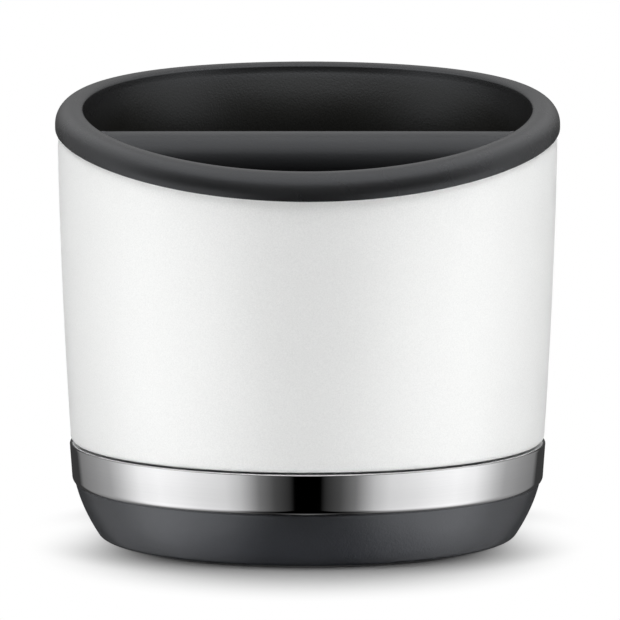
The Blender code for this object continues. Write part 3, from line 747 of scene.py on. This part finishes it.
# %% Helpers for the shader
def mix_colours(finish, factor, dark, light):
    """Mix two colours, each a tuple or a socket, by a factor."""
    tree = finish.node_tree
    node = tree.nodes.new("ShaderNodeMix")
    node.data_type = "RGBA"
    colour_inputs = [socket for socket in node.inputs if socket.type == "RGBA"]
    for colour, socket in zip((dark, light), colour_inputs):
        plug(tree, colour, socket)
    plug(tree, factor, node.inputs["Factor"])
    return next(socket for socket in node.outputs if socket.type == "RGBA")


def feed(finish, source, socket):
    """Feed a value into the shader."""
    shader = finish.node_tree.nodes["Principled BSDF"]
    finish.node_tree.links.new(source, shader.inputs[socket])


def relief(finish, source, depth, strength, under=None):
    """Turn a height into relief, on top of another relief where one is given."""
    node = finish.node_tree.nodes.new("ShaderNodeBump")
    node.inputs["Distance"].default_value = depth
    node.inputs["Strength"].default_value = strength
    finish.node_tree.links.new(source, node.inputs["Height"])
    if under is not None:
        finish.node_tree.links.new(under, node.inputs["Normal"])
    feed(finish, node.outputs["Normal"], "Normal")
    return node.outputs["Normal"]


def describe_finish(finish):
    """Print how many nodes a finish has."""
    print(finish.name, "has", len(finish.node_tree.nodes), "nodes")


# %% [markdown]
# The sleeve is sprayed with pearl white paint. Fine mica flakes in it act as tiny mirrors, so
# the white brightens where it faces the soft lights and dulls towards the front and the edges.
# A little metallic share gives that. The flakes also leave a grain that is just visible, and
# sprayed paint has a very faint orange peel.

# %% Pearl white paint
FLAKE_SIZE = 0.00035
PEEL_SIZE = 0.0016
GLOSS_PATCH = 0.004

paint = new_finish("pearl_white_paint", Metallic=0.22, Coat_Weight=0.10, Coat_Roughness=0.25)
flakes = noise(paint, FLAKE_SIZE, detail=1.0)
pearl = mix_colours(paint, spread(paint, flakes, 0, 1),
                    (0.832, 0.838, 0.833), (0.908, 0.913, 0.906))
feed(paint, pearl, "Base Color")
feed(paint, spread(paint, noise(paint, GLOSS_PATCH), 0.40, 0.46), "Roughness")
peel = relief(paint, noise(paint, PEEL_SIZE), depth=0.00002, strength=0.12)
relief(paint, flakes, depth=0.00001, strength=0.10, under=peel)
describe_finish(paint)

# %% [markdown]
# The bin is moulded in charcoal plastic with a fine matt grain from the mould and a slightly
# cool sheen. The mould was left rough for the inside and finished finer for the rim, and the
# inside is painted darker as shade in the deep bin, so a mask by the distance from the middle
# gives the two their own colour and roughness. Where the plastic is worn smooth by wiping it is
# a little glossier, so the roughness also wanders slowly. Sums like these need maths nodes, and a
# helper for them.

# %% Charcoal plastic
COOL_SHEEN = (0.92, 0.95, 1.0, 1.0)
MOULD_GRAIN = 0.0005
WIPED_PATCH = 0.018
INSIDE_ROUGHNESS = 0.32
RIM_ROUGHNESS = 0.28
ROUGHNESS_WANDER = 0.03
RIM_MASK_START = 0.0590
RIM_MASK_END = 0.0602


def calculate(tree, operation, *values):
    """A maths node fed by sockets or by numbers."""
    node = tree.nodes.new("ShaderNodeMath")
    node.operation = operation
    for value, socket in zip(values, node.inputs):
        plug(tree, value, socket)
    return node.outputs[0]


def object_axes(tree):
    """X, Y and Z of a point on the piece."""
    place = tree.nodes.new("ShaderNodeTexCoord")
    split = tree.nodes.new("ShaderNodeSeparateXYZ")
    tree.links.new(place.outputs["Object"], split.inputs["Vector"])
    return list(split.outputs)


def distance(tree, x, y):
    """How far a point lies from the middle, from its X and Y."""
    squares = [calculate(tree, "MULTIPLY", side, side) for side in (x, y)]
    return calculate(tree, "SQRT", calculate(tree, "ADD", *squares))


charcoal = new_finish("charcoal_plastic", Specular_IOR_Level=0.63, Specular_Tint=COOL_SHEEN)
tree = charcoal.node_tree
x, y = object_axes(tree)[:2]
rim_share = map_range(tree, distance(tree, x, y), RIM_MASK_START, RIM_MASK_END)
mould_grain = noise(charcoal, MOULD_GRAIN, detail=3.0)
grain_share = spread(charcoal, mould_grain, 0, 1)
# The darker inside colour is painted shade for the deep bin; the rim keeps the plastic's own
# colour
shaded_inside_colour = mix_colours(charcoal, grain_share,
                            (0.0042, 0.0040, 0.0030), (0.0060, 0.0058, 0.0048))
rim_colour = mix_colours(charcoal, grain_share,
                         (0.0106, 0.0107, 0.0112), (0.0136, 0.0137, 0.0142))
feed(charcoal, mix_colours(charcoal, rim_share, shaded_inside_colour, rim_colour), "Base Color")
wiped = spread(charcoal, noise(charcoal, WIPED_PATCH), INSIDE_ROUGHNESS - ROUGHNESS_WANDER,
               INSIDE_ROUGHNESS + ROUGHNESS_WANDER)
rim_step = calculate(tree, "MULTIPLY", rim_share, RIM_ROUGHNESS - INSIDE_ROUGHNESS)
feed(charcoal, calculate(tree, "ADD", wiped, rim_step), "Roughness")
relief(charcoal, mould_grain, depth=0.0001, strength=0.45)
describe_finish(charcoal)

# %% [markdown]
# The ring is chromed and polished. A perfect mirror looks artificial, so it has hairlines that
# run round the ring, and a faint waviness from the pressing. The hairlines come from noise
# that is squashed along Z, which makes it long round the ring and short up it.

# %% Polished chrome
HAIRLINE_LENGTH = 0.02
WAVE_SIZE = 0.012

chrome = new_finish("polished_chrome", Metallic=1.0)
hairlines = noise(chrome, HAIRLINE_LENGTH, detail=3.0, stretch=(1, 1, 90))
lined_chrome = mix_colours(chrome, hairlines, (0.80, 0.80, 0.81), (0.84, 0.84, 0.845))
feed(chrome, lined_chrome, "Base Color")
feed(chrome, spread(chrome, hairlines, 0.035, 0.075), "Roughness")
relief(chrome, noise(chrome, WAVE_SIZE), depth=0.00002, strength=0.05)
describe_finish(chrome)

# %% [markdown]
# Boot and sleeve of the bar are rubber with a fine even grain and a soft, slightly blue shine.
# The boot is painted paler towards its foot, standing in for light bounced up from the floor.
# The bar is rubbed by the filter basket, so it has faint lighter scuffs; they are long along
# the bar and short round it, and the rubbing leaves a thin gloss.

# %% Rubbers
RUBBER_GRAIN = 0.0006
DULL_PATCH = 0.02
SCUFF_SIZE = 0.012
# Painted bounce light from the floor: the boot grows paler from the first height down to the
# second, up to this share, plus a random grain tone
PAINTED_BOUNCE_TOP = 0.0135
PAINTED_BOUNCE_FOOT = 0.0010
PAINTED_BOUNCE_AT_FOOT = 0.85
BOOT_GRAIN_TONE = 0.15

boot_rubber = new_finish("boot_rubber_painted_bounce", Specular_IOR_Level=1.0,
                         Specular_Tint=COOL_SHEEN, Coat_Weight=0.3, Coat_Roughness=0.3)
boot_grain = noise(boot_rubber, RUBBER_GRAIN)
tree = boot_rubber.node_tree
z = object_axes(tree)[2]
# Painted light: paler towards the foot for light bounced up from the floor, plus random grain
# tone
painted_bounce_and_grain = calculate(tree, "ADD", map_range(tree, z, PAINTED_BOUNCE_TOP, PAINTED_BOUNCE_FOOT, 0, PAINTED_BOUNCE_AT_FOOT),
                 spread(boot_rubber, boot_grain, 0, BOOT_GRAIN_TONE))
bounce_painted_rubber = mix_colours(boot_rubber, painted_bounce_and_grain, (0.020, 0.0214, 0.0252), (0.040, 0.0426, 0.0505))
feed(boot_rubber, bounce_painted_rubber, "Base Color")
feed(boot_rubber, spread(boot_rubber, noise(boot_rubber, DULL_PATCH), 0.27, 0.33), "Roughness")
relief(boot_rubber, boot_grain, depth=0.0001, strength=0.4)
describe_finish(boot_rubber)

bar_rubber = new_finish("scuffed_bar_rubber", Specular_IOR_Level=0.4,
                        Specular_Tint=COOL_SHEEN, Coat_Weight=0.25, Coat_Roughness=0.15)
scuffs = noise(bar_rubber, SCUFF_SIZE, detail=4.0, stretch=(0.35, 3, 3))
scuffed_rubber = mix_colours(bar_rubber, spread(bar_rubber, scuffs, 0, 1),
                             (0.0120, 0.0124, 0.0133), (0.0160, 0.0164, 0.0173))
feed(bar_rubber, scuffed_rubber, "Base Color")
feed(bar_rubber, spread(bar_rubber, scuffs, 0.33, 0.41), "Roughness")
relief(bar_rubber, noise(bar_rubber, RUBBER_GRAIN), depth=0.0001, strength=0.4)
describe_finish(bar_rubber)

# %% [markdown]
# The rest is hidden in use: the moulded ends and base plate in plain black plastic, zinc plated
# screws, and a drawn steel rod with fine lines along its length. They still get real finishes,
# because the bar can be lifted out and the model turned over.

# %% Hidden finishes
PLASTIC_GRAIN = 0.0008
PLASTIC_PATCH = 0.01
SPANGLE_SIZE = 0.0015
ZINC_GRAIN = 0.0008
DRAW_LINE_SIZE = 0.004


def plain_plastic(name, dark, light):
    """Black moulded plastic with a fine grain."""
    made = new_finish(name)
    grain = noise(made, PLASTIC_GRAIN, detail=3.0)
    feed(made, mix_colours(made, grain, dark, light), "Base Color")
    feed(made, spread(made, noise(made, PLASTIC_PATCH), 0.42, 0.55), "Roughness")
    relief(made, grain, depth=0.00004, strength=0.2)
    return made


bar_plastic = plain_plastic("bar_end_plastic", (0.024, 0.024, 0.027), (0.034, 0.034, 0.037))
plate_plastic = plain_plastic("base_plate_plastic", (0.016, 0.016, 0.018), (0.024, 0.024, 0.026))

zinc = new_finish("zinc_plated_steel", Metallic=1.0)
spangle = noise(zinc, SPANGLE_SIZE, detail=4.0)
feed(zinc, mix_colours(zinc, spangle, (0.48, 0.48, 0.50), (0.62, 0.62, 0.62)), "Base Color")
feed(zinc, spread(zinc, noise(zinc, ZINC_GRAIN), 0.28, 0.42), "Roughness")

drawn_steel = new_finish("drawn_steel", Metallic=1.0)
draw_lines = noise(drawn_steel, DRAW_LINE_SIZE, detail=4.0, stretch=(0.05, 6, 6))
lined_steel = mix_colours(drawn_steel, draw_lines, (0.52, 0.52, 0.53), (0.64, 0.64, 0.65))
feed(drawn_steel, lined_steel, "Base Color")
feed(drawn_steel, spread(drawn_steel, draw_lines, 0.24, 0.36), "Roughness")
relief(drawn_steel, draw_lines, depth=0.00003, strength=0.2)
for finish in (bar_plastic, plate_plastic, zinc, drawn_steel):
    describe_finish(finish)

# %% [markdown]
# ## Putting it together
#
# Each new piece gets its finish and rides on the body that carries it; the CAD node it stands
# for is hidden, and the name of its material slot is listed but not used. The nodes that stay
# only get their finish.

# %% Pieces, bodies and slots
for piece, finish, body, slot_name, node in (
        (shell, paint, "box", "shell_paint", "outer_shell"),
        (grounds_bin, charcoal, "box", "bin_plastic", "inner_bin"),
        (saddle, charcoal, "box", "bin_plastic", None),
        (saddle_left, charcoal, "box", "bin_plastic", None),
        (ring, chrome, "box", "ring_chrome", "trim_ring"),
        (boot, boot_rubber, "box", "boot_rubber", "base_boot"),
        (sleeve, bar_rubber, "knock_bar", "bar_rubber", "bar_sleeve"),
        (end_right, bar_plastic, "knock_bar", "bar_plastic", "bar_end_right"),
        (end_left, bar_plastic, "knock_bar", "bar_plastic", "bar_end_left")):
    piece.data.materials.clear()
    piece.data.materials.append(finish)
    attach(piece, body)
    if node:
        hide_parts(node)

kept_nodes = {"base_plate": plate_plastic, "bar_rod": drawn_steel}
kept_nodes.update({"base_screw_%d" % (i + 1): zinc for i in range(4)})
for name, finish in kept_nodes.items():
    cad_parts[name].material_slots[0].material = finish
print("finished", len(kept_nodes), "kept nodes")

# %% [markdown]
# ## The studio
#
# The floor is white paper that runs out of sight. Light Path lets the camera, mirrors and glass
# see it bright, while the light that bounces off it stays natural. Round the box an oval of
# paper shows the real shadow, with painted shade added beside the boot's foot where its round
# turns away to the sides.

# %% Floor
FLOOR_SIZE = 16
FLOOR_WHITE = 0.80
FLOOR_SEEN = 0.243
# The oval that shows the real shadow: its shift to the front, its squeeze and its soft edge
POOL_FRONT = 0.0244
POOL_SQUEEZE = 1.17
POOL_START = 0.0395
POOL_END = 0.0873
# The painted shade by the foot: where it is full and where it ends, its depth and how narrow it
# is
PAINTED_SHADE_START = 0.056
PAINTED_SHADE_END = 0.080
PAINTED_SHADE_DEPTH = 0.46
PAINTED_SHADE_FOCUS = 3


def bare_material(name):
    """A material without a shader, to be built up from nodes."""
    made = bpy.data.materials.new(name)
    made.use_nodes = True
    made.node_tree.nodes.remove(made.node_tree.nodes["Principled BSDF"])
    return made


def seen_by(tree, *rays):
    """1 for rays of these kinds, and 0 for others."""
    path = tree.nodes.new("ShaderNodeLightPath")
    total = path.outputs[rays[0]]
    for ray in rays[1:]:
        total = calculate(tree, "MAXIMUM", total, path.outputs[ray])
    return total


def mix_shaders(tree, factor, first, second):
    """Mix two shaders by a factor."""
    node = tree.nodes.new("ShaderNodeMixShader")
    for source, socket in zip((factor, first, second), node.inputs):
        tree.links.new(source, socket)
    return node.outputs["Shader"]


def diffuse(tree, level):
    """A grey diffuse shader, from a number or a socket."""
    node = tree.nodes.new("ShaderNodeBsdfDiffuse")
    plug(tree, level, node.inputs["Color"])
    return node.outputs["BSDF"]


def emission(tree, strength):
    """A white shader that gives light, from a number or a socket."""
    node = tree.nodes.new("ShaderNodeEmission")
    plug(tree, strength, node.inputs["Strength"])
    return node.outputs["Emission"]


bpy.ops.object.select_all(action="DESELECT")
bpy.ops.mesh.primitive_plane_add(size=FLOOR_SIZE, location=(0, 0, 0))
floor = bpy.context.object
floor.name = "floor"
# Reflections see the card wall in its place
floor.visible_glossy = False
paper = bare_material("white_paper")
tree = paper.node_tree
x, y = object_axes(tree)[:2]
across = calculate(tree, "MULTIPLY", x, POOL_SQUEEZE)
ahead = calculate(tree, "ADD", y, POOL_FRONT)
surround = map_range(tree, distance(tree, across, ahead), POOL_START, POOL_END,
                     interpolation="SMOOTHSTEP")

# The painted shade is deepest halfway between the front and the sides
from_middle = distance(tree, x, y)
half_slant = calculate(tree, "DIVIDE", calculate(tree, "MULTIPLY", x, y),
                       calculate(tree, "MULTIPLY", from_middle, from_middle))
slant = calculate(tree, "ABSOLUTE", calculate(tree, "MULTIPLY", half_slant, 2))
near = map_range(tree, from_middle, PAINTED_SHADE_START, PAINTED_SHADE_END, PAINTED_SHADE_DEPTH, 0, "SMOOTHSTEP")
shade = calculate(tree, "MULTIPLY", near, calculate(tree, "POWER", slant, PAINTED_SHADE_FOCUS))
painted_shade_factor = calculate(tree, "SUBTRACT", 1, shade)

# Both the shadow pool and the white beyond it are darkened by the painted shade
shaded_paper = diffuse(tree, calculate(tree, "MULTIPLY", painted_shade_factor, FLOOR_SEEN))
seen_floor = mix_shaders(tree, surround, shaded_paper, emission(tree, painted_shade_factor))
to_camera = mix_shaders(tree, seen_by(tree, "Is Camera Ray"),
                        diffuse(tree, FLOOR_WHITE), seen_floor)
to_mirrors = mix_shaders(tree, seen_by(tree, "Is Glossy Ray", "Is Transmission Ray"),
                         to_camera, emission(tree, 1.0))
tree.links.new(to_mirrors, tree.nodes["Material Output"].inputs["Surface"])
floor.data.materials.append(paper)
describe_finish(paper)

# %% [markdown]
# The world is the white room above the floor. The camera, mirrors and glass see it as pure
# white, and its light on the box is faint, because the lamps do the lighting.

# %% World
ROOM_LIGHT = 0.10

world = bpy.data.worlds.new("white_room")
bpy.context.scene.world = world
world.use_nodes = True
tree = world.node_tree
background = tree.nodes["Background"]
background.inputs["Color"].default_value = (1, 1, 1, 1)
background.inputs["Strength"].default_value = ROOM_LIGHT
white = tree.nodes.new("ShaderNodeBackground")
white.inputs["Color"].default_value = (1, 1, 1, 1)
seen = seen_by(tree, "Is Camera Ray", "Is Glossy Ray", "Is Transmission Ray")
room = mix_shaders(tree, seen, background.outputs["Background"], white.outputs["Background"])
tree.links.new(room, tree.nodes["World Output"].inputs["Surface"])
print("room light", ROOM_LIGHT)

# %% [markdown]
# Polished metal shows nothing but its surroundings, so a photographer builds those: a wall of
# card round the object, out of the picture, closed below and open at the top. Only
# reflections see it.

# %% Card wall
WALL_RADIUS = 0.15
WALL_TOP = 0.55
WALL_FOOT = -1.0

bpy.ops.object.select_all(action="DESELECT")
bpy.ops.mesh.primitive_cylinder_add(vertices=128, radius=WALL_RADIUS, depth=WALL_TOP - WALL_FOOT,
                                    end_fill_type="NOTHING",
                                    location=(0, 0, (WALL_TOP + WALL_FOOT) / 2))
card_wall = bpy.context.object
card_wall.name = "card_wall"
bpy.ops.object.transform_apply()
bpy.ops.object.mode_set(mode="EDIT")
bpy.ops.mesh.select_all(action="DESELECT")
select_edges(lambda r, z: z < WALL_FOOT + SAME_PLACE)
bpy.ops.mesh.edge_face_add()
bpy.ops.object.mode_set(mode="OBJECT")
card_wall.visible_camera = False
card_wall.visible_diffuse = False
card_wall.visible_transmission = False
card_wall.visible_shadow = False
describe(card_wall)

# %% [markdown]
# The card has a black slot at the front for the lens, white sheets at the sides that fade in
# softly, and dark card behind. Colour ramps set its tone by the direction round the box, one
# for low down and one for the height of the rim, where the sheets end. Below the floor the
# wall stands for the floor as ring and boot see it, so it gets dimmer with depth, its sheets
# lie further back, and deep down the floor in front gives a faint light. Above the sheets the
# white from overhead reaches down, at the front less than at the sides.

# %% Tones of the card
# By degrees round from the front, low down and at the height of the rim
LOW_TONES = ((0, 0.0), (5, 0.0), (7, 0.03), (12.5, 0.075), (18.5, 0.2), (26, 0.6), (32, 0.8),
             (44, 0.93), (52, 1.05), (62, 1.14), (72, 1.04), (85, 0.6), (92, 0.42), (105, 0.31),
             (120, 0.22), (126, 0.045), (150, 0.045), (160, 0.25), (172, 0.5), (180, 0.55))
HIGH_TONES = ((0, 0.0), (35, 0.03), (50, 0.15), (65, 0.5), (80, 0.75), (92, 0.5), (105, 0.35),
              (120, 0.22), (126, 0.045))
HIGH_FROM = 0.085
HIGH_TO = 0.115
# What is left of those by height, where the floor is at 0, and how far the sheets turn back
DEPTH_TONES = ((-1.0, 0.0), (-0.45, 0.05), (-0.25, 0.16), (-0.14, 0.41), (-0.08, 0.93),
               (-0.03, 1.03), (-0.010, 0.92), (-0.004, 0.97), (0.004, 1.0), (0.55, 1.0))
LEAN_START = -0.03
LEAN_END = -0.13
SHEET_LEAN = 15
# White from overhead by height, in front, at the sides and behind, and where each takes over
FRONT_TONES = ((0.085, 0.0), (0.12, 0.04), (0.20, 0.1), (0.25, 0.8), (0.34, 1.1), (0.55, 1.1))
SIDE_TONES = ((0.085, 0.0), (0.11, 0.1), (0.14, 0.4), (0.18, 0.8), (0.26, 1.1), (0.55, 1.1))
BACK_TONES = ((0.035, 0.0), (0.06, 0.3), (0.12, 0.2), (0.17, 0.42), (0.22, 0.55), (0.30, 0.6),
              (0.55, 0.75))
SIDE_FROM, SIDE_TO = 45, 75
BACK_FROM, BACK_TO = 125, 150
# Light from the floor in front, by height and by degrees round from the front
GLOW_DEPTHS = ((-1.0, 0.2), (-0.5, 0.14), (-0.3, 0.06), (-0.18, 0.0), (0.55, 0.0))
GLOW_ROUND = ((0, 1.0), (20, 1.0), (45, 0.2), (60, 0.0), (180, 0.0))
# A ramp is given no tone above 1, so it holds each tone as a share of this one
TONE_SCALE = 1.2
HALF_ROUND = (0, 180)
WALL_HEIGHTS = (WALL_FOOT, WALL_TOP)


def tone_ramp(tree, source, span, stops):
    """Tone along a span of values, through stops of (value, tone)."""
    node = tree.nodes.new("ShaderNodeValToRGB")
    plug(tree, map_range(tree, source, *span), node.inputs["Fac"])
    ramp = node.color_ramp
    while len(ramp.elements) < len(stops):
        ramp.elements.new(1)
    for stop, (value, tone) in zip(ramp.elements, stops):
        stop.position = (value - span[0]) / (span[1] - span[0])
        stop.color = (tone / TONE_SCALE,) * 3 + (1,)
    return calculate(tree, "MULTIPLY", node.outputs["Color"], TONE_SCALE)


def blend(tree, share, first, second):
    """Go over from a first value to a second as the share grows from 0 to 1."""
    kept = calculate(tree, "MULTIPLY", first, calculate(tree, "SUBTRACT", 1, share))
    return calculate(tree, "ADD", kept, calculate(tree, "MULTIPLY", second, share))


card = bare_material("studio_card")
tree = card.node_tree
x, y, height = object_axes(tree)
round_angle = calculate(tree, "ARCTAN2", calculate(tree, "ABSOLUTE", x),
                        calculate(tree, "MULTIPLY", y, -1))
turn = calculate(tree, "MULTIPLY", round_angle, math.degrees(1))
lean_back = map_range(tree, height, LEAN_START, LEAN_END, 0, SHEET_LEAN)
leant_turn = calculate(tree, "SUBTRACT", turn, lean_back)
sheets = blend(tree, map_range(tree, height, HIGH_FROM, HIGH_TO),
               tone_ramp(tree, leant_turn, HALF_ROUND, LOW_TONES),
               tone_ramp(tree, turn, HALF_ROUND, HIGH_TONES))
sheets = calculate(tree, "MULTIPLY", sheets, tone_ramp(tree, height, WALL_HEIGHTS, DEPTH_TONES))
front, beside, behind = (tone_ramp(tree, height, WALL_HEIGHTS, stops)
                         for stops in (FRONT_TONES, SIDE_TONES, BACK_TONES))
overhead = blend(tree, map_range(tree, turn, SIDE_FROM, SIDE_TO), front, beside)
overhead = blend(tree, map_range(tree, turn, BACK_FROM, BACK_TO), overhead, behind)
glow = calculate(tree, "MULTIPLY", tone_ramp(tree, height, WALL_HEIGHTS, GLOW_DEPTHS),
                 tone_ramp(tree, turn, HALF_ROUND, GLOW_ROUND))
brightest = calculate(tree, "MAXIMUM", calculate(tree, "MAXIMUM", sheets, overhead), glow)
tree.links.new(emission(tree, brightest), tree.nodes["Material Output"].inputs["Surface"])
card_wall.data.materials.append(card)
describe_finish(card)

# %% [markdown]
# The lamps are three large soft boxes: one straight overhead, which leaves the soft shadow
# under the rim and round the foot, and a smaller one high up at each side. Mirrors see the
# card wall instead of the lamps, so the lamps are hidden from reflections. The Standard view
# transform shows a colour about as it is written.

# %% Lamps
LAMP_REACH = 0.9


def soft_box(name, direction, rise, size, watts):
    """A square area light aimed at the box, from a direction round it and a rise, in degrees."""
    direction, rise = math.radians(direction), math.radians(rise)
    across = LAMP_REACH * math.cos(rise)
    place = (across * math.sin(direction), -across * math.cos(direction),
             AIM_HEIGHT + LAMP_REACH * math.sin(rise))
    bpy.ops.object.light_add(type="AREA", location=place,
                             rotation=(math.radians(90) - rise, 0, direction))
    lamp = bpy.context.object
    lamp.name = name
    lamp.data.size = size
    lamp.data.energy = watts
    lamp.visible_glossy = False
    print(name, [round(value, 2) for value in place], watts, "W")


soft_box("top_box", direction=0, rise=90, size=1.2, watts=16.0)
soft_box("left_box", direction=-80, rise=60, size=0.6, watts=5.1)
soft_box("right_box", direction=80, rise=60, size=0.6, watts=5.1)
bpy.context.scene.view_settings.view_transform = "Standard"
